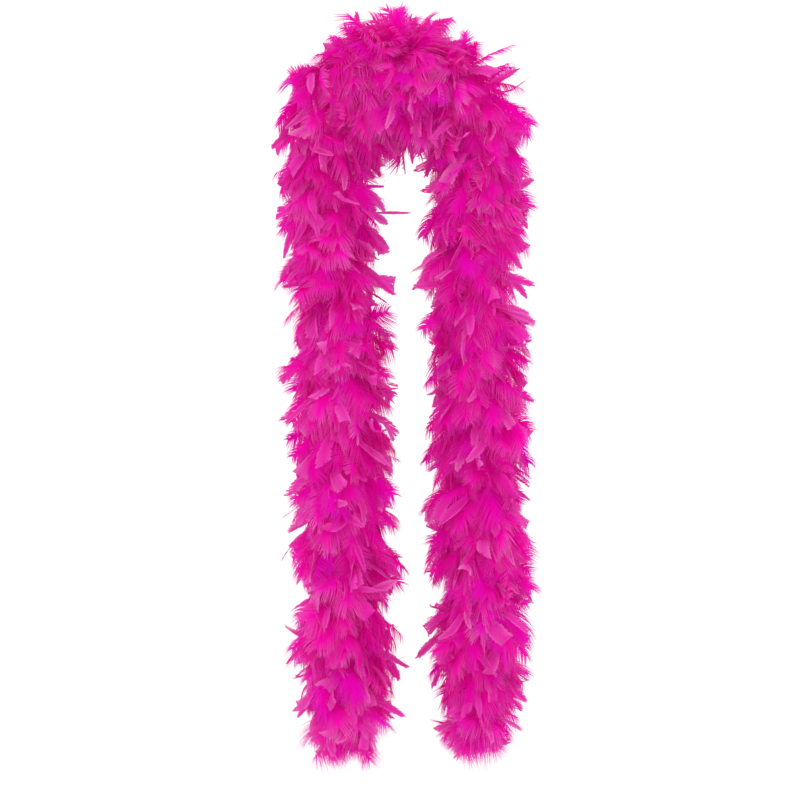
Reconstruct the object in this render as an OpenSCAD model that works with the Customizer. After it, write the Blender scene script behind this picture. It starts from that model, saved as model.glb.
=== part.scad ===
// Feather boa hanging over a support: a twisted core cord with whorls of dyed feathers bound along it.
// The boa hangs in the XZ plane with the top of its core at the origin. Each leg is cut into links that
// meet at hinges, and every whorl is bound to the link that it hangs on.

/* [Core] */
// Diameter of the twisted core cord
core_d = 5; // [4:0.5:7]
// Gap between the round end of one link of the core and the flat end of the next
link_gap = 0.5; // [0.3:0.1:1]
// Number of sides of the core cord's section
core_sides = 10; // [8:1:12]

/* [Whorls] */
// Spacing of the feather whorls along the legs
pitch = 28; // [26:1:34]
// Spacing of the feather whorls along the arch
arch_pitch = 21; // [18:1:30]
// Longest distance from the core to the tips of the down
reach = 60; // [50:1:62]
// How far the tips hang below the whorl's collar on a leg
droop = 48; // [40:1:50]
// Thickness of the down, measured along the core
down_t = 2.2; // [1.8:0.1:3]
// Pointed tufts round one whorl
tufts = 9; // [7:1:10]
// Least distance from a link's last whorl to the hinge below it
hinge_clear = 57; // [55:1:60]

/* [Flat feathers] */
// Length of a flat feather from the core to its tip
blade_l = 84; // [70:1:86]
// Greatest width of a flat feather
blade_w = 15; // [10:1:18]
// Thickness of a flat feather
blade_t = 0.8; // [0.6:0.1:1.2]
// Flat feathers between one whorl and the next
blades = 3; // [2:1:4]

/* [Bindings] */
// Quill roots laid round the core under one whorl
quills = 8; // [6:1:10]
// Diameter of one quill root
quill_d = 1.9; // [1.5:0.1:2]
// Length of a quill root under the thread
quill_l = 12; // [8:1:14]
// Diameter of the binding thread
thread_d = 0.8; // [0.6:0.1:1]
// Turns of thread round one bundle of quills
thread_turns = 4; // [3:1:5]

/* [Ends] */
// Diameter of the knot at each end of the core
knot_d = 12; // [11:0.5:14]
// Length of the cord's cut tail below the knot
tail_l = 9; // [6:1:12]
// Length of the thread whipping above the knot
whipping_l = 14; // [10:1:18]

/* [Hidden] */
core_r = core_d / 2;
// Core's route down each side from the top of the arch, as [x, z]
left_route = [
    [0, 0], [-36, -3], [-68, -14], [-90, -40], [-97, -78], [-96, -120], [-92, -200], [-87, -270],
    [-82, -335], [-80, -400], [-78, -500], [-76, -580], [-75, -660], [-74, -740], [-75, -820]
];
right_route = [
    [0, 0], [36, -3], [66, -14], [86, -40], [92, -78], [89, -120], [82, -200], [83, -270],
    [88, -335], [90, -400], [92, -500], [93, -580], [93, -660], [91, -740], [86, -820]
];
routes = [left_route, right_route];
left = 0;
right = 1;
// Route points at which each leg has its hinges
shoulder_knot = 5;
elbow_knot = 8;
tail_knot = 11;

// Smooth curve through the route
fine_steps = 12;
function knot_at(r, i) =
    i < 0 ? [-r[1].x, r[1].y] :
    i >= len(r) ? 2 * r[len(r) - 1] - r[len(r) - 2] :
    r[i];
function curve(a, b, c, d, t) =
    (2 * b + (c - a) * t + (2 * a - 5 * b + 4 * c - d) * t * t + (3 * b - a - 3 * c + d) * t * t * t) / 2;
function fine(r) = [
    for (i = [0 : len(r) - 2], k = [0 : fine_steps - 1])
        curve(knot_at(r, i - 1), knot_at(r, i), knot_at(r, i + 1), knot_at(r, i + 2), k / fine_steps),
    r[len(r) - 1]
];
function running_length(p) = [
    for (i = 0, run = 0; i < len(p); run = run + (i + 1 < len(p) ? norm(p[i + 1] - p[i]) : 0), i = i + 1) run
];
paths = [for (r = routes) fine(r)];
runs = [for (p = paths) running_length(p)];
function table(side, axis) = [for (i = [0 : len(paths[side]) - 1]) [runs[side][i], paths[side][i][axis]]];
x_tables = [for (side = [left, right]) table(side, 0)];
z_tables = [for (side = [left, right]) table(side, 1)];

// Place and heading of the core at a length s from the top of the arch
function at(side, s) = [lookup(s, x_tables[side]), lookup(s, z_tables[side])];
function heading(side, s) = at(side, s + 1) - at(side, s - 1);
function end_of(side) = runs[side][len(runs[side]) - 1];
function hinge_at(side, knot) = runs[side][knot * fine_steps];
function lean(side, s) =
    s < 1 ? (side == left ? 90 : -90) :
    s > end_of(side) - 1 ? lean(side, end_of(side) - 1) :
    atan2(-heading(side, s).x, -heading(side, s).y);

// First and last whorl of a stretch of core, spread evenly at about one pitch
end_clear = 16;
collar_drop = 3;
function spread_between(first, last, step) = [
    for (n = max(1, round((last - first) / step)), i = [0 : n]) first + i * (last - first) / n
];
function arch_whorls(side) =
    spread_between(arch_pitch / 2, hinge_at(side, shoulder_knot) - hinge_clear, arch_pitch);
function link_whorls(side, top_knot, low_knot) =
    spread_between(hinge_at(side, top_knot) + collar_drop, hinge_at(side, low_knot) - hinge_clear, pitch);
function tail_whorls(side) =
    spread_between(hinge_at(side, tail_knot) + collar_drop, end_of(side) - end_clear, pitch);

// The whorls lie flat at the top of the arch and hang like bells on the legs
bell_from = 60;
bell_full = 150;
flat_part = 0.25;
function bell(s) = lookup(s, [[bell_from, flat_part], [bell_full, 1]]);
// On the inside of the arch's bends the down is shorter, so that whorls don't meet
bend_from = 40;
bend_to = 150;
inner_cut = 0.45;
function shorten(side, s, a) =
    s > bend_from && s < bend_to ? 1 - inner_cut * max(0, cos(a - (side == left ? 0 : 180))) : 1;

golden = 137.5;
sleeve_r = core_r + quill_d;

module on_core(side, s) {
    p = at(side, s);
    translate([p.x, 0, p.y]) rotate([0, lean(side, s), 0]) children();
}

// One whorl of down: a pleated bell of pointed tufts, its collar on the quill roots
module whorl(side, s, seed) {
    n = 2 * tufts;
    mid_r = 0.6 * reach;
    mid_drop = 0.33 * droop;
    trim = rands(0.88, 1, n, seed);
    turn = seed * golden;
    function ring(r, z, a) = [r * cos(a), r * sin(a), z];
    function collar(i) = ring(core_r + 0.4, 0, turn + i * 360 / n);
    function middle(i) =
        let (a = turn + i * 360 / n) ring(mid_r * shorten(side, s, a), -mid_drop * bell(s), a);
    function tip(i) =
        let (a = turn + i * 360 / n, k = trim[i] * (i % 2 == 0 ? 1 : 0.8))
        ring(reach * k * shorten(side, s, a), -droop * k * bell(s), a);
    upper = [for (i = [0 : n - 1]) collar(i), for (i = [0 : n - 1]) middle(i), for (i = [0 : n - 1]) tip(i)];
    lower = [for (p = upper) p - [0, 0, down_t]];
    rows = 3;
    base = rows * n;
    // Both skins are cut into triangles along the same diagonals, so the down is equally thick all over
    faces = [
        for (row = [0 : rows - 2], i = [0 : n - 1])
            let (a = row * n + i, b = row * n + (i + 1) % n, c = a + n, d = b + n)
            each [[a, b, d], [a, d, c], [base + a, base + d, base + b], [base + a, base + c, base + d]],
        for (i = [0 : n - 1])
            let (j = (i + 1) % n, rim = base - n)
            each [
                [rim + i, rim + j, base + rim + j], [rim + i, base + rim + j, base + rim + i],
                [j, i, base + i], [j, base + i, base + j]
            ]
    ];
    on_core(side, s) polyhedron(concat(upper, lower), [for (f = faces) [f[2], f[1], f[0]]]);
}

// Flat feathers between two whorls, as stiff lance-shaped blades
module flat_spray(side, s, seed) {
    slope = atan2(droop * bell(s), reach);
    lengths = rands(0.82, 1, blades, seed + 100);
    for (i = [0 : blades - 1], turn = [seed * golden + i * 360 / blades + 40])
        on_core(side, s)
            rotate([0, 0, turn])
                translate([core_r, 0, 0])
                    rotate([0, slope, 0])
                        linear_extrude(blade_t, center = true)
                            blade(blade_l * lengths[i] * shorten(side, s, turn));
}

module blade(l) {
    w = blade_w / 2;
    polygon([
        [0, -0.1 * w], [0.3 * l, -0.2 * w], [0.62 * l, -w], [0.86 * l, -0.8 * w], [l, -0.1 * w],
        [l, 0.1 * w], [0.86 * l, 0.8 * w], [0.62 * l, w], [0.3 * l, 0.2 * w], [0, 0.1 * w]
    ]);
}

// Quill roots laid along the core under one whorl
module quill_bundle(side, s) {
    on_core(side, s)
        translate([0, 0, -quill_l])
            linear_extrude(quill_l)
                difference() {
                    union() {
                        circle(core_r + 0.6 * quill_d, $fn = 48);
                        for (i = [0 : quills - 1])
                            rotate(i * 360 / quills)
                                translate([core_r + quill_d / 2, 0]) circle(quill_d / 2, $fn = 24);
                    }
                    circle(core_r, $fn = 48);
                }
}

// Turns of thread over the quill roots of one whorl
module thread_band(side, s) {
    on_core(side, s)
        translate([0, 0, -0.7 * quill_l])
            rotate_extrude($fn = 48)
                for (i = [0 : thread_turns - 1])
                    translate([sleeve_r + 0.2 * thread_d, 0.8 * i * thread_d])
                        circle(thread_d / 2, $fn = 16);
}

// Core cord along a list of [x, z] points: round at its first end where a hinge is, flat at its last
module core_tube(points, round_first) {
    last = len(points) - 1;
    function facing(i) =
        let (d = points[min(i + 1, last)] - points[max(i - 1, 0)]) d / norm(d);
    cap_steps = 3;
    function section(p, d, r, back) = [
        for (k = [0 : core_sides - 1])
            let (a = k * 360 / core_sides)
            [p.x - back * d.x + r * cos(a) * d.y, r * sin(a), p.y - back * d.y - r * cos(a) * d.x]
    ];
    cap = round_first ? [
        for (k = [1 : cap_steps])
            let (a = 90 * k / (cap_steps + 1))
            section(points[0], facing(0), core_r * sin(a), core_r * cos(a))
    ] : [];
    rings = concat(cap, [for (i = [0 : last]) section(points[i], facing(i), core_r, 0)]);
    rows = len(rings);
    body = [
        for (row = [0 : rows - 2], k = [0 : core_sides - 1])
            let (a = row * core_sides, b = a + core_sides, j = (k + 1) % core_sides)
            each [[a + k, b + k, b + j], [a + k, b + j, a + j]]
    ];
    caps = [
        [for (k = [0 : core_sides - 1]) k],
        [for (k = [core_sides - 1 : -1 : 0]) (rows - 1) * core_sides + k]
    ];
    polyhedron([for (ring = rings) each ring], concat(body, caps));
}

ring_step = 2.5 * core_d;
function stretch(side, from, to) = [
    for (n = ceil((to - from) / ring_step), i = [0 : n]) at(side, from + i * (to - from) / n)
];
function backwards(p) = [for (i = [len(p) - 1 : -1 : 0]) p[i]];
// Flat end of a link, just clear of the round end below it
function flat_end(side, knot) = hinge_at(side, knot) - core_r - link_gap;

down_colour = [0.90, 0.08, 0.58];
blade_colour = [0.95, 0.25, 0.66];
quill_colour = [0.80, 0.05, 0.47];
core_colour = [0.62, 0.02, 0.36];
thread_colour = [0.72, 0.04, 0.42];

// Links of the legs: name, side, hinge above, hinge below (or none at the tail), first seed
links = [
    ["left_upper", left, shoulder_knot, elbow_knot, 30],
    ["left_middle", left, elbow_knot, tail_knot, 40],
    ["left_tail", left, tail_knot, 0, 50],
    ["right_upper", right, shoulder_knot, elbow_knot, 60],
    ["right_middle", right, elbow_knot, tail_knot, 70],
    ["right_tail", right, tail_knot, 0, 80]
];
arch_seeds = [1, 11];
function whorls_of(link) = link[3] == 0 ? tail_whorls(link[1]) : link_whorls(link[1], link[2], link[3]);
function core_end(link) = link[3] == 0 ? end_of(link[1]) - knot_d / 2 : flat_end(link[1], link[3]);

// Twisted cord that the feathers are bound to
module core_cord_arch() {
    left_half = stretch(left, 0, flat_end(left, shoulder_knot));
    right_half = stretch(right, 0, flat_end(right, shoulder_knot));
    color(core_colour)
        core_tube(concat(backwards(left_half), [for (i = [1 : len(right_half) - 1]) right_half[i]]), false);
}
module core_cord(link) {
    color(core_colour)
        core_tube(stretch(link[1], hinge_at(link[1], link[2]), core_end(link)), true);
}

// Quill ends laid along the core, one bundle to a whorl
module quill_roots(side, places) {
    color(quill_colour) for (s = places) quill_bundle(side, s);
}

// Thread that binds each bundle of quills to the core
module binding_thread(side, places) {
    color(thread_colour) for (s = places) thread_band(side, s);
}

// Down of a link's whorls
module down_plumes(side, places, seed) {
    color(down_colour) for (i = [0 : len(places) - 1]) whorl(side, places[i], seed + i);
}

// Flat feathers that stand out between a link's whorls
module flat_feathers(side, places, seed) {
    color(blade_colour)
        for (i = [0 : len(places) - 2]) flat_spray(side, (places[i] + places[i + 1]) / 2, seed + i);
}

// Knot at the end of the core, with the cord's cut tail below it
module end_knot(side) {
    color(core_colour)
        on_core(side, end_of(side)) {
            sphere(knot_d / 2, $fn = 48);
            translate([0, 0, -knot_d / 2 - tail_l + 1]) cylinder(h = tail_l, r = 0.8 * core_r, $fn = 32);
        }
}

// Thread whipped round the core above its knot
module end_whipping(side) {
    rise = 0.8 * thread_d;
    turns = floor(whipping_l / rise);
    color(thread_colour)
        on_core(side, end_of(side) - knot_d / 2 - whipping_l)
            translate([0, 0, -whipping_l])
                rotate_extrude($fn = 48) {
                    translate([core_r, 0]) square([0.5 * thread_d, turns * rise]);
                    for (i = [0 : turns - 1])
                        translate([core_r + 0.5 * thread_d, (i + 0.5) * rise]) circle(thread_d / 2, $fn = 16);
                }
}

core_cord_arch();
for (side = [left, right], places = [arch_whorls(side)], seed = [arch_seeds[side]]) {
    quill_roots(side, places);  // quill_roots_arch
    binding_thread(side, places);  // binding_thread_arch
    down_plumes(side, places, seed);  // down_plumes_arch
    flat_feathers(side, places, seed);  // flat_feathers_arch
}
for (link = links, name = [link[0]], side = [link[1]], places = [whorls_of(link)], seed = [link[4]]) {
    core_cord(link);
    quill_roots(side, places);
    binding_thread(side, places);
    down_plumes(side, places, seed);
    flat_feathers(side, places, seed);
}
end_whipping(left);  // end_whipping_left
end_whipping(right);  // end_whipping_right
end_knot(left);  // end_knot_left
end_knot(right);  // end_knot_right
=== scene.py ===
"""Looks of the feather boa: its core cord and bindings, and the plumes and flat feathers that grow from it.

The core runs in the XZ plane. Every feather is built barb by barb in a flat outline, then laid along its
bent quill. Lengths are metres.
"""

import math

import bpy
import numpy as np
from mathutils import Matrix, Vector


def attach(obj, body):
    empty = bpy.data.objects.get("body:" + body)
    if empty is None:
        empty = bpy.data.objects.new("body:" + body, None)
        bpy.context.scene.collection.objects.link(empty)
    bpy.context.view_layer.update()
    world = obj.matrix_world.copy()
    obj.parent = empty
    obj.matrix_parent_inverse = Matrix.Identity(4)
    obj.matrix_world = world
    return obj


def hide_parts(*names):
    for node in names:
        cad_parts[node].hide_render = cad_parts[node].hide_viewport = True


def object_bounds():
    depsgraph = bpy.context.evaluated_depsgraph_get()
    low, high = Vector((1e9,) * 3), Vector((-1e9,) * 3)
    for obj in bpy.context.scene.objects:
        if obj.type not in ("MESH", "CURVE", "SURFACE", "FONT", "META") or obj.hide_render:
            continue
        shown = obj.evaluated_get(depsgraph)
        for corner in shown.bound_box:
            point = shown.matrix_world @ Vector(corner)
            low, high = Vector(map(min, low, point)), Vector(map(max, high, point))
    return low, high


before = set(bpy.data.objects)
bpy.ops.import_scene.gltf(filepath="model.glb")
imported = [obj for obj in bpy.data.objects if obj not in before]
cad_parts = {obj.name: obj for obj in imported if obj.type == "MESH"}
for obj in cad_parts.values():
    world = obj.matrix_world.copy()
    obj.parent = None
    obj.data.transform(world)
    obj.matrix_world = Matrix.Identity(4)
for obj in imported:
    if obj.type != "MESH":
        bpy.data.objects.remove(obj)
CAD_LOW, CAD_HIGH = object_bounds()

# ---------------------------------------------------------------- camera
CENTRE = (-0.006, 0.0, -0.400)
VIEW_W = 1.0  # width of what the camera sees at the boa
LENS = 85
SENSOR = 36

camera = bpy.data.objects.new("camera", bpy.data.cameras.new("camera"))
camera.data.lens = LENS
camera.data.sensor_width = SENSOR
camera.location = (CENTRE[0], -VIEW_W * LENS / SENSOR, CENTRE[2])
camera.rotation_euler = (math.pi / 2, 0, 0)
bpy.context.collection.objects.link(camera)
bpy.context.scene.camera = camera

# ---------------------------------------------------------------- the core's route, as in the CAD model
ROUTES = {
    "left": [
        (0, 0), (-0.036, -0.003), (-0.068, -0.014), (-0.090, -0.040), (-0.097, -0.078), (-0.096, -0.120),
        (-0.092, -0.200), (-0.087, -0.270), (-0.082, -0.335), (-0.080, -0.400), (-0.078, -0.500),
        (-0.076, -0.580), (-0.075, -0.660), (-0.074, -0.740), (-0.075, -0.820),
    ],
    "right": [
        (0, 0), (0.036, -0.003), (0.066, -0.014), (0.086, -0.040), (0.092, -0.078), (0.089, -0.120),
        (0.082, -0.200), (0.083, -0.270), (0.088, -0.335), (0.090, -0.400), (0.092, -0.500),
        (0.093, -0.580), (0.093, -0.660), (0.091, -0.740), (0.086, -0.820),
    ],
}
SHOULDER, ELBOW, TAIL = 5, 8, 11  # route points at which the legs have hinges
FINE_STEPS = 12  # steps of the smooth curve between two route points
CORE_R = 0.0025
QUILL_R = 0.00095
QUILL_L = 0.012
SLEEVE_R = CORE_R + 2 * QUILL_R  # outside of the quill roots that lie on the core
THREAD_R = 0.0004
KNOT_R = 0.006
WHIPPING_L = 0.014

# Whorls of feathers, spaced as in the CAD model
PITCH = 0.028
ARCH_PITCH = 0.021
HINGE_CLEAR = 0.057
COLLAR_DROP = 0.003
END_CLEAR = 0.016

DOWN = np.array([0.0, 0.0, -1.0])
BACK = np.array([0.0, 1.0, 0.0])


def unit(v):
    """Vectors of the same directions, one long."""
    return v / np.maximum(np.linalg.norm(v, axis=-1, keepdims=True), 1e-9)


def dot(a, b):
    """Dot products of arrays of vectors, which keep the last axis."""
    return np.sum(a * b, axis=-1, keepdims=True)


class Core:
    """One side of the core, from the top of the arch to its end: a smooth curve through its route."""

    def __init__(self, route):
        pts = np.array(route, float)
        before = np.array([[-pts[1, 0], pts[1, 1]]])
        pts = np.vstack([before, pts, 2 * pts[-1] - pts[-2]])
        line = []
        for i in range(1, len(pts) - 2):
            a, b, c, d = pts[i - 1 : i + 3]
            for k in range(FINE_STEPS):
                t = k / FINE_STEPS
                cubic = (3 * b - a - 3 * c + d) * t**3
                line.append((2 * b + (c - a) * t + (2 * a - 5 * b + 4 * c - d) * t**2 + cubic) / 2)
        line.append(pts[-2])
        self.line = np.array(line)
        steps = np.linalg.norm(np.diff(self.line, axis=0), axis=1)
        self.run = np.concatenate([[0], np.cumsum(steps)])
        self.length = self.run[-1]

    def hinge(self, point):
        """Length from the top to a route point."""
        return self.run[point * FINE_STEPS]

    def at(self, s):
        """Centre of the core at lengths s from the top."""
        x = np.interp(s, self.run, self.line[:, 0])
        z = np.interp(s, self.run, self.line[:, 1])
        return np.stack([x, np.zeros_like(x), z], -1)

    def along(self, s):
        """Unit direction of the core towards the leg's end."""
        h = 0.002
        s = np.clip(s, h, self.length - h)
        return unit(self.at(s + h) - self.at(s - h))

    def round(self, s, turn):
        """Unit direction away from the core at angle turn round it: 0 is to the back."""
        second = unit(np.cross(self.along(s), BACK))
        turn = np.asarray(turn)[..., None]
        return np.cos(turn) * BACK + np.sin(turn) * second


def spread(first, last, step):
    """Places from first to last, about a step apart."""
    count = max(1, round((last - first) / step))
    return np.linspace(first, last, count + 1)


CORES = {side: Core(route) for side, route in ROUTES.items()}


class Link:
    """A stretch of one side of the core between two hinges, with the places of its whorls."""

    def __init__(self, name, side, start, end, first, last, pitch):
        self.name, self.side, self.core = name, side, CORES[side]
        self.start, self.end = start, end
        self.places = spread(first, last, pitch)


LINKS = []
for side, core in CORES.items():
    shoulder, elbow, tail = (core.hinge(point) for point in (SHOULDER, ELBOW, TAIL))
    LINKS += [
        Link("arch", side, 0.0, shoulder, ARCH_PITCH / 2, shoulder - HINGE_CLEAR, ARCH_PITCH),
        Link(side + "_upper", side, shoulder, elbow, shoulder + COLLAR_DROP, elbow - HINGE_CLEAR, PITCH),
        Link(side + "_middle", side, elbow, tail, elbow + COLLAR_DROP, tail - HINGE_CLEAR, PITCH),
        Link(side + "_tail", side, tail, core.length, tail + COLLAR_DROP, core.length - END_CLEAR, PITCH),
    ]
BODIES = ["arch", *(link.name for link in LINKS if link.name != "arch")]


# ---------------------------------------------------------------- materials
def new_node(tree, kind, **values):
    """A new shader node with some of its settings."""
    n = tree.nodes.new(kind)
    for key, value in values.items():
        setattr(n, key, value)
    return n


def ramp(tree, source, stops):
    """Colours from (place, colour) stops, picked by a source from 0 to 1."""
    n = new_node(tree, "ShaderNodeValToRGB")
    n.color_ramp.elements.remove(n.color_ramp.elements[0])
    n.color_ramp.elements[0].position = stops[0][0]
    n.color_ramp.elements[0].color = (*stops[0][1], 1)
    for place, colour in stops[1:]:
        n.color_ramp.elements.new(place).color = (*colour, 1)
    tree.links.new(source, n.inputs["Fac"])
    return n.outputs["Color"]


def bump(tree, height, strength, distance):
    """A bumped normal."""
    n = new_node(tree, "ShaderNodeBump")
    n.inputs["Strength"].default_value = strength
    n.inputs["Distance"].default_value = distance
    tree.links.new(height, n.inputs["Height"])
    return n.outputs["Normal"]


def blank_material(name):
    """A material with a shader, its output and the UV map that every piece has."""
    m = bpy.data.materials.new(name)
    m.use_nodes = True
    tree = m.node_tree
    tree.nodes.clear()
    out = new_node(tree, "ShaderNodeOutputMaterial")
    shader = new_node(tree, "ShaderNodeBsdfPrincipled")
    tree.links.new(shader.outputs["BSDF"], out.inputs["Surface"])
    uv = new_node(tree, "ShaderNodeUVMap", uv_map="OFBake").outputs["UV"]
    return m, tree, shader, uv


def let_light_through(tree, shader, colour, share):
    """Mixes in a share of translucence, as light comes through the thin barbs."""
    through = new_node(tree, "ShaderNodeBsdfTranslucent")
    tree.links.new(colour, through.inputs["Color"])
    both = new_node(tree, "ShaderNodeMixShader")
    both.inputs["Fac"].default_value = share
    tree.links.new(shader.outputs["BSDF"], both.inputs[1])
    tree.links.new(through.outputs["BSDF"], both.inputs[2])
    out = next(n for n in tree.nodes if n.type == "OUTPUT_MATERIAL")
    tree.links.new(both.outputs["Shader"], out.inputs["Surface"])


def feather_material(name, barb_colour_and_painted_light, tone, roughness, sheen, barb_lines, through):
    """Dyed feather: its colour runs from quill to tip along U, and from feather to feather along V. Along U
    it is partly painted light: strong red at the roots lifts their shade, and the pale tips are painted
    light shining through thin barbs.
    """
    m, tree, shader, uv = blank_material(name)
    split = new_node(tree, "ShaderNodeSeparateXYZ")
    tree.links.new(uv, split.inputs["Vector"])
    mix = new_node(tree, "ShaderNodeMix", data_type="RGBA", blend_type="MULTIPLY")
    factor, first, second = mix.inputs[0], mix.inputs[6], mix.inputs[7]
    factor.default_value = 1
    tree.links.new(ramp(tree, split.outputs["X"], barb_colour_and_painted_light), first)
    tree.links.new(ramp(tree, split.outputs["Y"], tone), second)
    colour = mix.outputs[2]
    tree.links.new(colour, shader.inputs["Base Color"])
    let_light_through(tree, shader, colour, through)
    wave = new_node(tree, "ShaderNodeTexWave", wave_type="BANDS", bands_direction="X")
    wave.inputs["Scale"].default_value = barb_lines
    wave.inputs["Distortion"].default_value = 1.5
    wave.inputs["Detail"].default_value = 2
    tree.links.new(uv, wave.inputs["Vector"])
    tree.links.new(bump(tree, wave.outputs["Fac"], 0.25, 0.0003), shader.inputs["Normal"])
    shader.inputs["Roughness"].default_value = roughness
    shader.inputs["Specular IOR Level"].default_value = 0.06
    shader.inputs["Sheen Weight"].default_value = sheen
    shader.inputs["Sheen Roughness"].default_value = 0.5
    shader.inputs["Sheen Tint"].default_value = (1.0, 0.20, 0.65, 1)
    # A faint pink-violet glow, painted light: it lifts the shade deep among the feathers and tints it
    # purple, standing in for light scattered through the thin barbs
    shader.inputs["Emission Color"].default_value = (1.0, 0.0, 0.90, 1)
    shader.inputs["Emission Strength"].default_value = 0.064
    return m


def fibre_material(name, dark, light, scale, roughness):
    """Dyed cotton or quill, with darker and lighter spots of dye."""
    m, tree, shader, uv = blank_material(name)
    noise = new_node(tree, "ShaderNodeTexNoise")
    noise.inputs["Scale"].default_value = scale
    noise.inputs["Detail"].default_value = 4
    tree.links.new(uv, noise.inputs["Vector"])
    colour = ramp(tree, noise.outputs["Fac"], [(0.3, dark), (0.7, light)])
    tree.links.new(colour, shader.inputs["Base Color"])
    tree.links.new(bump(tree, noise.outputs["Fac"], 0.4, 0.0002), shader.inputs["Normal"])
    shader.inputs["Roughness"].default_value = roughness
    shader.inputs["Sheen Weight"].default_value = 0.3
    return m


QUILL_U = 0.05  # U left of this is the quill, right of it the barbs from quill to tip
DOWN_MATERIAL = feather_material(
    "down",
    # Quill to tip, partly painted light: strong red at the roots lifts the shade deep in the boa, and the
    # paler tips are painted light through thin barbs
    barb_colour_and_painted_light=[
        (0.0, (0.98, 0.001, 0.60)),
        (QUILL_U, (0.98, 0.001, 0.60)),
        (0.4, (0.96, 0.002, 0.56)),
        (0.75, (0.90, 0.052, 0.57)),
        (1.0, (0.84, 0.220, 0.62)),
    ],
    tone=[
        (0.0, (0.93, 0.25, 1.12)),
        (0.35, (0.98, 0.60, 1.0)),
        (0.7, (1.0, 2.1, 1.0)),
        (1.0, (1.0, 3.7, 1.25)),
    ],
    roughness=0.8,
    sheen=0.08,
    barb_lines=24,
    through=0.52,
)
VANE_MATERIAL = feather_material(
    "vane",
    # Quill to tip, partly painted light: strong red at the roots lifts their shade, and the paler tips are
    # painted light through thin barbs
    barb_colour_and_painted_light=[
        (0.0, (0.92, 0.004, 0.54)),
        (QUILL_U, (0.92, 0.012, 0.54)),
        (0.5, (0.89, 0.045, 0.54)),
        (1.0, (0.86, 0.140, 0.58)),
    ],
    tone=[
        (0.0, (0.97, 0.60, 0.92)),
        (0.5, (1.0, 1.2, 1.0)),
        (1.0, (1.0, 2.8, 1.1)),
    ],
    roughness=0.55,
    sheen=0.15,
    barb_lines=30,
    through=0.38,
)
CORD_MATERIAL = fibre_material("core cord", (0.36, 0.0, 0.14), (0.56, 0.004, 0.22), scale=60, roughness=0.8)
THREAD_MATERIAL = fibre_material("thread", (0.42, 0.0, 0.15), (0.66, 0.008, 0.27), scale=40, roughness=0.6)
QUILL_MATERIAL = fibre_material("quill", (0.55, 0.001, 0.20), (0.75, 0.02, 0.33), scale=12, roughness=0.4)


# ---------------------------------------------------------------- meshes
def mesh_object(name, verts, faces, uvs, material):
    """A smooth mesh from arrays: verts (n, 3), four-sided faces (m, 4), and one UV to a vertex."""
    mesh = bpy.data.meshes.new(name)
    mesh.vertices.add(len(verts))
    mesh.vertices.foreach_set("co", verts.astype(np.float32).ravel())
    mesh.loops.add(faces.size)
    mesh.loops.foreach_set("vertex_index", faces.astype(np.int32).ravel())
    mesh.polygons.add(len(faces))
    mesh.polygons.foreach_set("loop_start", np.arange(0, faces.size, 4, dtype=np.int32))
    mesh.polygons.foreach_set("loop_total", np.full(len(faces), 4, dtype=np.int32))
    mesh.update(calc_edges=True)
    layer = mesh.uv_layers.new(name="OFBake")
    layer.data.foreach_set("uv", uvs[faces.ravel()].astype(np.float32).ravel())
    mesh.polygons.foreach_set("use_smooth", np.full(len(faces), True))
    mesh.materials.append(material)
    obj = bpy.data.objects.new(name, mesh)
    bpy.context.collection.objects.link(obj)
    return obj


class Gathered:
    """Arrays gathered into one mesh."""

    def __init__(self):
        self.verts, self.faces, self.uvs, self.count = [], [], [], 0

    def add(self, verts, faces, uvs):
        """Adds points, four-sided faces and one UV to a point, with any axes before the last."""
        self.verts.append(verts.reshape(-1, 3))
        self.faces.append(faces.reshape(-1, 4) + self.count)
        self.uvs.append(uvs.reshape(-1, 2))
        self.count += len(self.verts[-1])

    def tube(self, line, radius, corners=8):
        """A tube along a line of points, its radius a number or one to a point."""
        line = np.asarray(line, float)
        rows = len(line)
        radius = np.broadcast_to(radius, rows)
        heading = unit(np.gradient(line, axis=0))
        side = np.empty_like(line)
        side[0] = unit(np.cross(heading[0], [0.31, 0.87, 0.38]))
        for i in range(1, rows):
            side[i] = unit(side[i - 1] - heading[i] * np.dot(side[i - 1], heading[i]))
        up = np.cross(heading, side)
        turn = np.arange(corners)[:, None] * 2 * math.pi / corners
        ring = side[:, None] * np.cos(turn) + up[:, None] * np.sin(turn)
        verts = line[:, None] + ring * radius[:, None, None]
        run = np.concatenate([[0], np.cumsum(np.linalg.norm(np.diff(line, axis=0), axis=1))])
        uv = np.empty((rows, corners, 2))
        uv[..., 0] = (run / max(run[-1], 1e-9))[:, None]
        uv[..., 1] = 0.5 - 0.5 * np.cos(turn[:, 0])
        a = np.arange(rows - 1)[:, None] * corners + np.arange(corners)
        b = np.arange(rows - 1)[:, None] * corners + (np.arange(corners) + 1) % corners
        self.add(verts, np.stack([a, b, b + corners, a + corners], -1), uv)

    def build(self, name, material):
        """An object of all that was gathered."""
        arrays = (np.vstack(part) for part in (self.verts, self.faces, self.uvs))
        return mesh_object(name, *arrays, material)


def closed_ends(count, radius, soft=3):
    """Radii of a tube that is rounded off over its soft first and last points."""
    from_end = np.minimum(np.arange(count), np.arange(count)[::-1])
    return radius * np.sqrt(1 - (1 - np.clip(from_end / soft, 0.02, 1)) ** 2)


# ---------------------------------------------------------------- core cord, bindings, knots
PLIES = 3
PLY_R = 0.46 * CORE_R
LAY = 0.016  # length of one turn of the plies
PLY_STEP = 0.0012
PATH_POINTS = 40


def both_sides(s):
    """Centre of the whole core at lengths s from the top: the left leg's are negative."""
    s = np.asarray(s, float)
    return np.where((s < 0)[:, None], CORES["left"].at(-s), CORES["right"].at(np.abs(s)))


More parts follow.
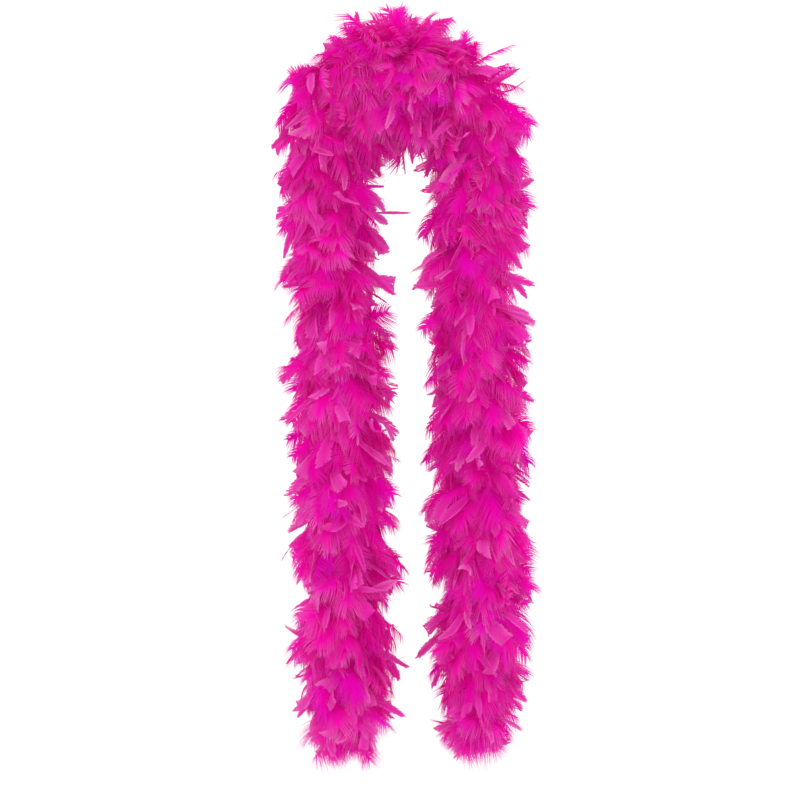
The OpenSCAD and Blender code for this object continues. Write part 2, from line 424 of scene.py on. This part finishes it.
def rope(gathered, start, end):
    """Three plies twisted round the core's line, from a length start to a length end."""
    s = np.linspace(start, end, int(abs(end - start) / PLY_STEP))
    centre = both_sides(s)
    normal = np.cross(unit(np.gradient(centre, axis=0)), BACK)
    for ply in range(PLIES):
        turn = (2 * math.pi * (s / LAY + ply / PLIES))[:, None]
        line = centre + (CORE_R - PLY_R) * (np.cos(turn) * BACK + np.sin(turn) * normal)
        gathered.tube(line, closed_ends(len(s), PLY_R))


def core_piece(name, start, end):
    """The core of one body."""
    gathered = Gathered()
    rope(gathered, start, end)
    piece = gathered.build("core_" + name, CORD_MATERIAL)
    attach(piece, name)
    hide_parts("core_cord_" + name)
    path = both_sides(np.linspace(start, end, PATH_POINTS)).tolist()


BAND_TURNS = 5
BAND_POINTS = 70
BAND_LOW, BAND_HIGH = 0.35, 0.7  # where a band starts and ends, as parts of the quill roots' length
OPEN_TURNS = 2.4
OPEN_POINTS = 36


def wound(core, start, end, turns, phase, radius):
    """Points of a thread wound round a core, its distance from the core's line one to a point."""
    s = np.linspace(start, end, len(radius))
    turn = phase + 2 * math.pi * turns * np.linspace(0, 1, len(radius))
    return core.at(s) + core.round(s, turn) * radius[:, None]


def bindings(name, links):
    """Thread of one body: a tight band on each bundle of quills, and open turns from band to band."""
    gathered = Gathered()
    band = np.full(BAND_POINTS, SLEEVE_R + 0.4 * THREAD_R)
    # Open turns start and end on a band and lie on the core between
    rise = np.abs(np.linspace(-1, 1, OPEN_POINTS)) ** 1.5
    between = CORE_R + THREAD_R + (band[0] - CORE_R - THREAD_R) * rise
    for link in links:
        low = link.places + BAND_LOW * QUILL_L
        high = link.places + BAND_HIGH * QUILL_L
        for i in range(len(low)):
            line = wound(link.core, low[i], high[i], BAND_TURNS, i, band)
            gathered.tube(line, closed_ends(len(line), THREAD_R), 6)
        for i in range(len(low) - 1):
            line = wound(link.core, high[i], low[i + 1], OPEN_TURNS, i, between)
            gathered.tube(line, closed_ends(len(line), THREAD_R), 6)
    piece = gathered.build("thread_" + name, THREAD_MATERIAL)
    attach(piece, name)
    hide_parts("binding_thread_" + name)


QUILLS = 8
QUILL_FLARE = 1.5  # how far a root's outer end stands off the core, in quill radii


def quill_roots(name, links, rng):
    """Quill ends of one body: a ring of tapering roots laid along the core at each whorl."""
    gathered = Gathered()
    flare = np.linspace(1, 0, 7) ** 3
    for link in links:
        for place in link.places:
            for k in range(QUILLS):
                turn = 2 * math.pi * k / QUILLS + rng.normal(0, 0.06)
                low = place + QUILL_L * rng.uniform(0.85, 1)
                line = wound(link.core, place, low, 0, turn, CORE_R + QUILL_R * (1 + QUILL_FLARE * flare))
                gathered.tube(line, closed_ends(len(line), QUILL_R, 2), 8)
    piece = gathered.build("quills_" + name, QUILL_MATERIAL)
    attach(piece, name)
    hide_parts("quill_roots_" + name)


WHIPPING_PITCH = 1.6 * THREAD_R
WHIPPING_CORNERS = 14  # points to a turn


def whipping(side):
    """Thread whipped round the core above its knot."""
    core = CORES[side]
    end = core.length - KNOT_R
    turns = WHIPPING_L / WHIPPING_PITCH
    radius = np.full(int(turns * WHIPPING_CORNERS), CORE_R + THREAD_R)
    line = wound(core, end - WHIPPING_L, end, turns, 0, radius)
    gathered = Gathered()
    gathered.tube(line, closed_ends(len(line), THREAD_R), 6)
    piece = gathered.build("whipping_" + side, THREAD_MATERIAL)
    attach(piece, side + "_tail")
    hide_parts("end_whipping_" + side)


KNOT_POINTS = 90
FRAYS = 26
FRAY_R = 0.00032
FRAY_L = (0.009, 0.013)


def end_knot(side, rng):
    """Overhand knot in the core's end, with a short frayed tail."""
    core = CORES[side]
    heading = core.along(core.length)
    centre = core.at(core.length)
    across = np.cross(heading, BACK)
    gathered = Gathered()
    # A trefoil is the shape of an overhand knot
    t = np.linspace(0, 2 * math.pi, KNOT_POINTS)
    flat = 0.24 * KNOT_R * (np.sin(t) + 2 * np.sin(2 * t))
    tall = 0.24 * KNOT_R * (np.cos(t) - 2 * np.cos(2 * t))
    deep = -0.42 * KNOT_R * np.sin(3 * t)
    line = centre + flat[:, None] * across + tall[:, None] * heading + deep[:, None] * BACK
    normal = unit(np.cross(unit(np.gradient(line, axis=0)), BACK))
    for ply in range(PLIES):
        angle = (5 * t + 2 * math.pi * ply / PLIES)[:, None]
        offset = 0.42 * CORE_R * (np.cos(angle) * normal + np.sin(angle) * BACK)
        gathered.tube(line + offset, 0.38 * CORE_R, 8)
    step = np.linspace(0, 1, 7)[:, None]
    for _ in range(FRAYS):
        spin = rng.uniform(0, 2 * math.pi)
        away = np.cos(spin) * across + np.sin(spin) * BACK
        start = centre + heading * 0.6 * KNOT_R + away * 0.4 * CORE_R
        splay = away * rng.uniform(0.1, 0.9) * CORE_R * step**2
        strand = start + heading * rng.uniform(*FRAY_L) * step + splay
        gathered.tube(strand, FRAY_R * (1 - 0.6 * step[:, 0]), 5)
    piece = gathered.build("knot_" + side, CORD_MATERIAL)
    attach(piece, side + "_tail")
    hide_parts("end_knot_" + side)


core_piece("arch", -CORES["left"].hinge(SHOULDER), CORES["right"].hinge(SHOULDER))
for side, sign in (("left", -1), ("right", 1)):
    core = CORES[side]
    stops = [core.hinge(SHOULDER), core.hinge(ELBOW), core.hinge(TAIL), core.length - KNOT_R / 2]
    for name, start, end in zip(("upper", "middle", "tail"), stops[:-1], stops[1:]):
        core_piece(f"{side}_{name}", sign * start, sign * end)
    whipping(side)
    end_knot(side, np.random.default_rng(7))
for i, body in enumerate(BODIES):
    links = [link for link in LINKS if link.name == body]
    bindings(body, links)
    quill_roots(body, links, np.random.default_rng(50 + i))


# ---------------------------------------------------------------- kinds of feather


def plume_outline(t):
    """Length of a soft plume's barbs along its quill, 0 to 1: long early, short and round at the tip."""
    return np.clip(0.5 + t / 0.4, 0, 1) * (1 - 0.6 * np.clip((t - 0.5) / 0.5, 0, 1) ** 2)


def lance_outline(t):
    """Length of a lance-shaped flat feather's barbs: widest past the middle, pointed at the tip."""
    swelling = 0.25 + 0.75 * np.clip((t - 0.2) / 0.4, 0, 1)
    return swelling * (1 - 0.9 * np.clip((t - 0.6) / 0.4, 0, 1) ** 1.5)


def blunt_outline(t):
    """Length of the barbs of a flat feather that is broad up to its cut end."""
    return 0.3 + 0.7 * np.clip((t - 0.15) / 0.45, 0, 1)


# What a kind of feather says:
#   barbs: how many there are in each of its two rows
#   stations, taper: places along a barb, and its width there as a part of the gap from barb to barb
#   outline: how long the barbs are along the quill, as a part of the longest
#   angles: degrees from quill to barb at the feather's root, before its tip and at its tip
#   bare: the part of the quill below its first barb
#   lock: how many barbs cling together, and how far their tips draw in
#   cup: how far the vane curves, and by how much that varies
#   wave, loose, tilt: how far locks ripple, barbs fray and barbs overlap
#   sag: how far soft barbs hang
#   stray: how far a barb differs from its neighbours
#   quill: its radius at the root
#   tone: its place between its material's dark and pale feathers, and by how much that varies
#   slant: how obliquely its end is cut
#   roll, twist, bend, kink: how far the quill turns, winds, curves and breaks
PLUME = dict(
    barbs=60, stations=(0, 0.35, 0.7, 1), taper=(1.5, 1.35, 0.7, 0.06), outline=plume_outline,
    angles=(80, 57, 34), bare=0.05, lock=(6, 0.24), cup=(-0.25, 0.22), wave=0.06, loose=0.07, sag=0.30,
    stray=0.08, tilt=0.05, quill=0.0005, tone=(0.50, 0.22), slant=0.0,
    roll=0.40, twist=0.6, bend=0.45, kink=0.0,
)
LANCE = dict(
    barbs=26, stations=(0, 0.55, 1), taper=(1.3, 1.25, 1.0), outline=lance_outline,
    angles=(38, 20, 10), bare=0.16, lock=(9, 0.12), cup=(0.10, 0.14), wave=0.015, loose=0.004, sag=0.0,
    stray=0.03, tilt=0.06, quill=0.0006, tone=(0.55, 0.22), slant=0.0,
    roll=0.5, twist=0.8, bend=0.35, kink=0.5,
)
BLUNT = dict(
    barbs=26, stations=(0, 0.55, 1), taper=(1.3, 1.25, 1.1), outline=blunt_outline,
    angles=(50, 40, 32), bare=0.16, lock=(8, 0.15), cup=(0.10, 0.14), wave=0.02, loose=0.004, sag=0.0,
    stray=0.03, tilt=0.06, quill=0.0006, tone=(0.60, 0.22), slant=0.5,
    roll=0.5, twist=0.8, bend=0.35, kink=0.7,
)
STRAY = dict(
    barbs=12, stations=(0, 0.55, 1), taper=(1.2, 1.1, 0.6), outline=lance_outline,
    angles=(24, 14, 8), bare=0.3, lock=(4, 0.2), cup=(0.10, 0.14), wave=0.02, loose=0.01, sag=0.0,
    stray=0.04, tilt=0.06, quill=0.0008, tone=(0.15, 0.1), slant=0.0,
    roll=0.5, twist=0.8, bend=0.6, kink=0.0,
)

# Room for the feathers round the CAD model, and less for their quills, as the barbs stand out from those
ROOM = np.array([0.018, 0.013, 0.036])
ROOM_LOW = np.array(CAD_LOW) - ROOM
ROOM_HIGH = np.array(CAD_HIGH) + ROOM
BARB_ROOM = np.array([0.015, 0.017, 0.026])


# ---------------------------------------------------------------- feathers
RIBS = 20  # stations along a quill at which its heading is worked out
KINK_FROM, KINK_TO = 0.5, 0.85  # where a quill may break, as parts of its length
KINK_L = 0.06  # the part of the quill that a break takes
LOPSIDED = (0.8, 1.15)  # a row's barbs, as parts of the outline
BOW_IN, BOW_UP = 0.18, 0.22  # how far a barb curves towards the feather's tip
LAST_BARB = 0.985  # its place, as a part of the quill's length
CUT_END = 0.97  # where a blunt feather is cut, as a part of its length
QUILL_END = 0.97
LAST_U = 0.98  # U at the tip of the last barb
EDGES = np.array([-1, 1])  # a strip's two edges


class Feathers:
    """A batch of feathers of one kind: where they grow, how they head at root and tip, and their size."""

    def __init__(self, rng, kind, root, first, last, side, length, width):
        n = len(root)
        self.rng, self.kind, self.n = rng, kind, n
        t = np.linspace(0, 1, RIBS)[None, :, None]
        heading = first[:, None] * (1 - t**0.8) + last[:, None] * t**0.8
        heading = unit(heading + side[:, None] * rng.normal(0, kind["bend"], (n, 1, 1)) * t**2)
        if kind["kink"]:
            place = rng.uniform(KINK_FROM, KINK_TO, (n, 1, 1))
            fold = unit(rng.normal(0, 1, (n, 1, 3))) * rng.normal(0, kind["kink"], (n, 1, 1))
            heading = unit(heading + fold * np.clip((t - place) / KINK_L, 0, 1))
        step = length[:, None, None] / (RIBS - 1)
        middle = (heading[:, 1:] + heading[:, :-1]) / 2
        run = np.concatenate([np.zeros((n, 1, 3)), np.cumsum(middle * step, axis=1)], axis=1)
        # Feathers that would leave the boa's room are shorter
        above = (ROOM_HIGH - BARB_ROOM - root) / np.maximum(run.max(axis=1), 1e-6)
        below = (root - BARB_ROOM - ROOM_LOW) / np.maximum(-run.min(axis=1), 1e-6)
        fit = np.clip(np.minimum(above, below).min(axis=1), 0, 1)
        self.length = length * fit
        self.width = width * fit**0.5
        self.line = root[:, None] + run * fit[:, None, None]
        side = unit(side[:, None] - heading * dot(side[:, None], heading))
        out = np.cross(side, heading)
        roll = rng.normal(0, kind["roll"], (n, 1, 1)) + rng.normal(0, kind["twist"], (n, 1, 1)) * t
        self.side = side * np.cos(roll) + out * np.sin(roll)
        self.out = out * np.cos(roll) - side * np.sin(roll)

    def lay(self, x, y, z):
        """Places points of the flat outline, x across, y along and z off the vane, on the bent feathers."""
        n = self.n
        where = (y / self.length.reshape((-1,) + (1,) * (y.ndim - 1)) * (RIBS - 1)).reshape(n, -1)
        low = np.clip(where.astype(int), 0, RIBS - 2)
        part = (where - low)[..., None]
        turned = np.clip(part, 0, 1)
        row = np.arange(n)[:, None]
        point = self.line[row, low] * (1 - part) + self.line[row, low + 1] * part
        side = self.side[row, low] * (1 - turned) + self.side[row, low + 1] * turned
        out = self.out[row, low] * (1 - turned) + self.out[row, low + 1] * turned
        return (point + side * x.reshape(n, -1, 1) + out * z.reshape(n, -1, 1)).reshape(x.shape + (3,))

    def barb_angles(self, t):
        """Angles from quill to barb, by feather, row and barb."""
        at_root, late, at_tip = self.kind["angles"]
        angle = np.radians(at_root + (late - at_root) * t + (at_tip - late) * t**6)
        return angle + self.rng.normal(0, self.kind["stray"], (self.n, 2, len(t)))

    def barb_lengths(self, t, angle):
        """The barbs' lengths: a plume's are the outline, and a flat feather's reach out to it."""
        reach = self.width[:, None, None] / 2 * self.kind["outline"](t)
        reach = reach * self.rng.uniform(*LOPSIDED, (self.n, 2, 1))
        if self.kind["outline"] is not plume_outline:
            reach = reach / np.sin(angle)
        return reach * (1 + self.rng.normal(0, 1.3 * self.kind["stray"], angle.shape))

    def cling(self, u, y):
        """Draws in the tips of barbs that cling together in a lock, and gives each lock a random lift."""
        lock_size, pull = self.kind["lock"]
        shape = y.shape[:-1]
        lock = np.cumsum(self.rng.random(shape) < 1 / lock_size, axis=2)
        row = np.arange(self.n * 2).reshape(self.n, 2, 1)
        lock = (row * (shape[2] + 1) + lock).ravel()
        size = np.maximum(np.bincount(lock), 1)
        mean_tip = (np.bincount(lock, weights=y[..., -1].ravel()) / size)[lock].reshape(shape)
        lift = self.rng.normal(0, 1, len(size))[lock].reshape(shape)
        return y + pull * u**3 * (mean_tip - y[..., -1])[..., None], lift[..., None]

    def strips(self, u, x, y, z, angle, gap):
        """Widens the barbs' middle lines to strips with two edges, one row on either side of the quill."""
        half = gap / 2 * np.array(self.kind["taper"])
        dx = np.sin(angle) * (1 - 2 * BOW_IN * u)
        dy = np.cos(angle) + 2 * BOW_UP * u
        norm = np.hypot(dx, dy)
        mirror = np.array([1, -1]).reshape(1, 2, 1, 1, 1)
        x = (x[..., None] - (dy / norm * half)[..., None] * EDGES) * mirror
        y = y[..., None] + (dx / norm * half)[..., None] * EDGES
        z = z[..., None] + (half * self.kind["tilt"])[..., None] * EDGES
        return x, y, z

    def add_barbs(self, gathered):
        """Both rows of barbs of every feather, as tapering strips that lie edge to edge near the quill."""
        rng, n, kind = self.rng, self.n, self.kind
        u = np.array(kind["stations"], float)
        t = np.linspace(kind["bare"], LAST_BARB, kind["barbs"])
        length = self.length[:, None, None, None]
        root = (t * self.length[:, None, None] * np.ones((n, 2, 1)))[..., None]
        angle = self.barb_angles(t)
        reach = self.barb_lengths(t, angle)[..., None]
        angle = angle[..., None]
        x = reach * np.sin(angle) * (u - BOW_IN * u**2)
        y = root + reach * (np.cos(angle) * u + BOW_UP * u**2)
        y, lift = self.cling(u, y)
        cup = rng.normal(*kind["cup"], (n, 1, 1, 1))
        fray = rng.normal(0, 1, lift.shape)
        z = reach * (cup * u**2 + kind["wave"] * lift * u**1.5 + kind["loose"] * fray * u)
        if kind["slant"]:
            slant = rng.normal(0, kind["slant"], (n, 1, 1, 1)) * np.array([-1, 1]).reshape(1, 2, 1, 1)
            y = np.minimum(y, length * CUT_END + slant * x)
        gap = length * (t[1] - t[0]) * np.maximum(np.sin(angle), 0.5)
        verts = self.lay(*self.strips(u, x, y, z, angle, gap))
        # Soft barbs hang, and all stay in the boa's room
        fall = reach * kind["sag"] * u**2 * rng.uniform(0.4, 1.3, (n, 1, 1, 1))
        verts[..., 2] -= fall[..., None]
        verts = np.clip(verts, ROOM_LOW, ROOM_HIGH)
        uv = np.empty(verts.shape[:-1] + (2,))
        # U runs from the quill to the barb tips, where the materials paint lifted shade at the roots and
        # paler light-through at the tips
        outward = 0.4 * root / length + 0.6 * u**1.3
        uv[..., 0] = (QUILL_U + (LAST_U - QUILL_U) * outward)[..., None]
        tone = rng.normal(*kind["tone"], (n, 1, 1)) + rng.normal(0, 0.05, (n, 2, len(t)))
        uv[..., 1] = np.clip(tone, 0.02, 0.98)[..., None, None] + 0.004 * EDGES
        first = np.arange(n * 2 * len(t)).reshape(-1, 1) * len(u) * 2
        quad = first + np.arange(len(u) - 1) * 2
        gathered.add(verts, np.stack([quad, quad + 1, quad + 3, quad + 2], -1), uv)

    def add_quills(self, gathered, rings=8):
        """The feathers' quills, three-sided and tapering."""
        t = np.linspace(0, QUILL_END, rings)
        corner = np.array([0, 2, 4]) * math.pi / 3 + math.pi / 2
        r = (self.kind["quill"] * (1 - 0.85 * t))[None, :, None] * np.ones((self.n, 1, 3))
        y = t[None, :, None] * self.length[:, None, None] * np.ones((1, 1, 3))
        verts = self.lay(r * np.cos(corner), y, r * np.sin(corner))
        uv = np.empty(verts.shape[:-1] + (2,))
        uv[..., 0] = QUILL_U * 0.8 * t[None, :, None]
        uv[..., 1] = self.rng.uniform(0.2, 0.8, (self.n, 1, 1)) + 0.004 * np.arange(3)
        ring = np.arange(self.n * rings).reshape(self.n, rings)[:, :-1, None] * 3
        a = ring + np.arange(3)
        b = ring + (np.arange(3) + 1) % 3
        gathered.add(verts, np.stack([a, b, b + 3, a + 3], -1), uv)


# ---------------------------------------------------------------- where feathers grow
GOLDEN_TURN = math.radians(137.5)
TURN_NOISE = 0.3
TOP = 0.03  # nearer the top of the arch than this, feathers lean to either leg
SWEEP = 0.45  # how far clumps of feathers sweep sideways
SWEEP_NOISE = 0.25
LIFT = math.radians(22)  # how far clumps of feathers stand out or hang more
TOP_FALL = math.radians(22)  # plumes on top of the arch fall over by this much more

# Lengths of feathers, as parts of their usual ones: towards the ends of the legs they get shorter
END_THIN = {"left": 0.07, "right": 0.13}  # over this last stretch of the core
END_SHORT = 0.54  # down to this
# Over the arch they are longer, and the more so above and below the core
ARCH_FULL = 0.16  # nearer the top than this
ARCH_BLEND = 0.05  # the stretch over which that sets in
ARCH_MORE = 0.12
ARCH_MORE_UPRIGHT = 0.16
# On top of the arch's right half they are shorter near the middle and longer at the shoulder
SHOULDER_PLACES = (0.01, 0.03, 0.055, 0.075, 0.09, 0.11, 0.125)
SHOULDER_MORE = (0, -0.4, -0.4, 0.1, 0.35, 0.35, 0)
# Flat feathers on top of the arch are shorter
FLAT_LESS = 0.32

# The crown's plumes grow on the arch's outer side, as far from the top as this
CROWN_END = {"left": 0.080, "right": 0.050}
CROWN_SPREAD = 0.6  # how far round the core, in radians


def feather_size(link, kind, s, turn, radial):
    """How long feathers are at lengths s and angles turn round the core, as parts of their usual length."""
    upward = np.clip(radial[:, 2], 0, 1)
    # Fuller and thinner places come round about every 60 mm
    swell = 1 + 0.09 * np.sin(s * 105 + 1.7 * np.sin(turn)) + 0.06 * np.sin(s * 47 + 2 * turn)
    near_end = np.clip((link.core.length - s) / END_THIN[link.side], 0, 1)
    near_top = np.clip((ARCH_FULL - s) / ARCH_BLEND, 0, 1)
    full = 1 + near_top * (ARCH_MORE + ARCH_MORE_UPRIGHT * np.abs(radial[:, 2]))
    if link.side == "right":
        full = full + upward * np.interp(s, SHOULDER_PLACES, SHOULDER_MORE)
    if kind is not PLUME:
        full = full - FLAT_LESS * upward
    return swell * (END_SHORT + (1 - END_SHORT) * near_end) * full


def sprout(rng, link, kind, per_metre, out_angle, hang_angle, length, width, crown=False):
    """Feathers of one kind along a link: all round it by the golden angle, or on the arch's outer side."""
    core = link.core
    n = max(2, int((link.end - link.start) * per_metre))
    s = link.start + (np.arange(n) + rng.random(n)) * (link.end - link.start) / n
    turn = np.arange(n) * GOLDEN_TURN + rng.normal(0, TURN_NOISE, n) + rng.uniform(0, 7)
    if crown:
        s = s * CROWN_END[link.side] / link.end
        turn = (math.pi / 2 if link.side == "right" else -math.pi / 2) + rng.normal(0, CROWN_SPREAD, n)
    along = core.along(s)
    radial = core.round(s, turn)
    lateral = np.cross(along, radial)
    upward = np.clip(radial[:, 2:], 0, 1)
    # At the root a feather leans out from the core
    out = np.radians(rng.uniform(*out_angle, n))[:, None]
    hang = np.radians(rng.uniform(*hang_angle, n))[:, None]
    lean = np.where(s < TOP, rng.uniform(-1, 1, n), 1)[:, None]
    first = unit(radial * np.cos(out) + along * np.sin(out) * lean)
    # Its tip hangs down, or on top of the arch falls over to any side, and neighbours sweep the same way
    over = unit(along * rng.normal(0.4, 1, (n, 1)) + lateral * rng.normal(0, 1, (n, 1)))
    fall = unit(DOWN * (1 - upward) + over * upward)
    sweep = SWEEP * np.sin(s * 150 + 2 * turn + 3 * np.sin(s * 31))[:, None]
    hang = hang + LIFT * np.sin(s * 85 - turn + 2 * np.sin(s * 43))[:, None]
    if kind is PLUME:
        hang = hang + TOP_FALL * upward
    sideways = lateral * (sweep + rng.normal(0, SWEEP_NOISE, (n, 1)))
    last = unit(radial * np.cos(hang) + fall * np.sin(hang) + sideways)
    side = unit(np.cross(last, first) + 0.2 * lateral)
    size = rng.uniform(*length, n) * feather_size(link, kind, s, turn, radial)
    root = core.at(s) + radial * CORE_R
    return Feathers(rng, kind, root, first, last, side, size, rng.uniform(*width, n))


# Kind, feathers to a metre, angles from the core at root and tip, length and width
CROWN_LAYER = (PLUME, 520, (-25, 25), (35, 85), (0.058, 0.074), (0.056, 0.070))
OUTER_LAYER = (PLUME, 950, (-10, 25), (42, 98), (0.058, 0.080), (0.044, 0.058))
INNER_LAYER = (PLUME, 300, (0, 40), (20, 80), (0.034, 0.050), (0.032, 0.044))
FLAT_LAYERS = (  # the last two stand out sideways
    (LANCE, 190, (-5, 30), (40, 92), (0.070, 0.088), (0.009, 0.016)),
    (BLUNT, 180, (-5, 30), (35, 90), (0.066, 0.086), (0.014, 0.027)),
    (STRAY, 45, (-10, 40), (25, 75), (0.070, 0.084), (0.003, 0.005)),
    (LANCE, 22, (-15, 15), (5, 45), (0.076, 0.090), (0.009, 0.015)),
    (BLUNT, 18, (-15, 15), (5, 45), (0.074, 0.088), (0.012, 0.020)),
)
# The CAD node that a piece stands for, its slot and its material
DOWN_LOOK = ("down_plumes_", "down", DOWN_MATERIAL)
FLAT_LOOK = ("flat_feathers_", "vane", VANE_MATERIAL)


def feather_piece(name, link, look, rng, layers, crown=False):
    """One piece of a link's feathers, from one or more layers of them."""
    gathered = Gathered()
    for layer in layers:
        batch = sprout(rng, link, *layer, crown=crown)
        batch.add_barbs(gathered)
        batch.add_quills(gathered)
    node, slot, material = look
    side = "" if link.name.startswith(link.side) else link.side + "_"
    piece = gathered.build(name + side + link.name, material)
    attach(piece, link.name)
    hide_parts(node + link.name)


for i, link in enumerate(LINKS):
    rng = np.random.default_rng(100 + i)
    if link.name == "arch":
        feather_piece("crown_plumes_", link, DOWN_LOOK, rng, [CROWN_LAYER], crown=True)
    feather_piece("outer_plumes_", link, DOWN_LOOK, rng, [OUTER_LAYER])
    feather_piece("inner_plumes_", link, DOWN_LOOK, rng, [INNER_LAYER])
    feather_piece("flats_", link, FLAT_LOOK, np.random.default_rng(200 + i), FLAT_LAYERS)


# ---------------------------------------------------------------- floor and light
def floor_material():
    """Plain and pale."""
    m = bpy.data.materials.new("floor")
    m.use_nodes = True
    shader = m.node_tree.nodes["Principled BSDF"]
    shader.inputs["Base Color"].default_value = (0.95, 0.95, 0.95, 1)
    shader.inputs["Roughness"].default_value = 0.9
    shader.inputs["Specular IOR Level"].default_value = 0.1
    return m


FLOOR_DROP = 0.35  # the boa hangs this far above the floor
FLOOR_HALF = 12
corners = np.array([(-1, -1, 0), (1, -1, 0), (1, 1, 0), (-1, 1, 0)], float) * FLOOR_HALF
corners[:, 2] = CAD_LOW[2] - FLOOR_DROP
square = np.array([[0, 1, 2, 3]])
floor = mesh_object("floor", corners, square, corners[:, :2] / FLOOR_HALF, floor_material())


def area_light(name, place, size, power, colour):
    """A round soft light aimed at the boa's middle."""
    data = bpy.data.lights.new(name, "AREA")
    data.shape = "DISK"
    data.size = size
    data.energy = power
    data.color = colour
    lamp = bpy.data.objects.new(name, data)
    lamp.location = place
    aim = np.array(CENTRE) - np.array(place)
    yaw = math.atan2(aim[1], aim[0])
    pitch = math.atan2(math.hypot(aim[0], aim[1]), -aim[2])
    lamp.rotation_euler = (pitch, 0, yaw - math.pi / 2)
    bpy.context.collection.objects.link(lamp)


area_light("key", place=(-2.2, -1.9, 0.9), size=1.6, power=10, colour=(1.0, 0.99, 0.98))
area_light("fill", place=(2.4, -1.6, 0.2), size=2.2, power=8, colour=(0.88, 0.86, 1.0))

world = bpy.data.worlds.new("world")
world.use_nodes = True
background = world.node_tree.nodes["Background"]
background.inputs["Color"].default_value = (1, 1, 1, 1)
background.inputs["Strength"].default_value = 1.06
bpy.context.scene.world = world
bpy.context.scene.view_settings.view_transform = "Standard"
